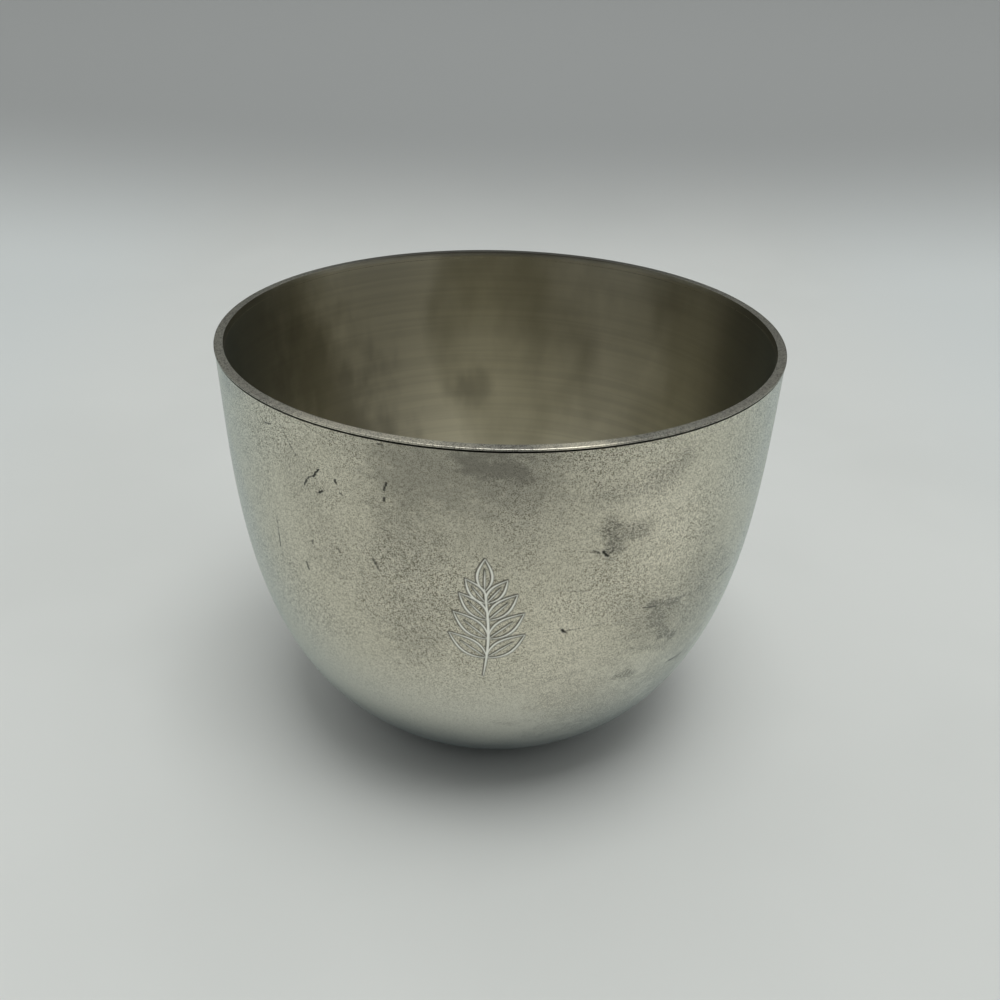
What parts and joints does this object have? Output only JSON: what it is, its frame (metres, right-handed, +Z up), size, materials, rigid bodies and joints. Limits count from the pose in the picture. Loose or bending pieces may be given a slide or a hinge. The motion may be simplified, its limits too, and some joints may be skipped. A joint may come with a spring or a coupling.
{
  "type": "tumbler cup",
  "caption": "Handleless pewter tumbler cup with a full round bowl, a slightly flared upper wall, a narrow flat soldered rim ring and a small flat base to stand on",
  "frame": {"origin": "the middle of the flat base, on the surface that the cup stands on", "axes": "+Z up along the turning axis, -Y towards the side seen in the picture, +X to its right"},
  "size_m": [0.0826, 0.0826, 0.0655],
  "materials": {
    "worn_pewter": "satin pewter, worn, pitted and stained",
    "rubbed_pewter": "pewter rubbed by use",
    "tarnished_solder": "dark tarnished tin solder"
  },
  "bodies": {
    "root": {"cup_body": "worn_pewter", "rim_ring": "rubbed_pewter", "rim_solder": "tarnished_solder"}
  },
  "joints": []
}
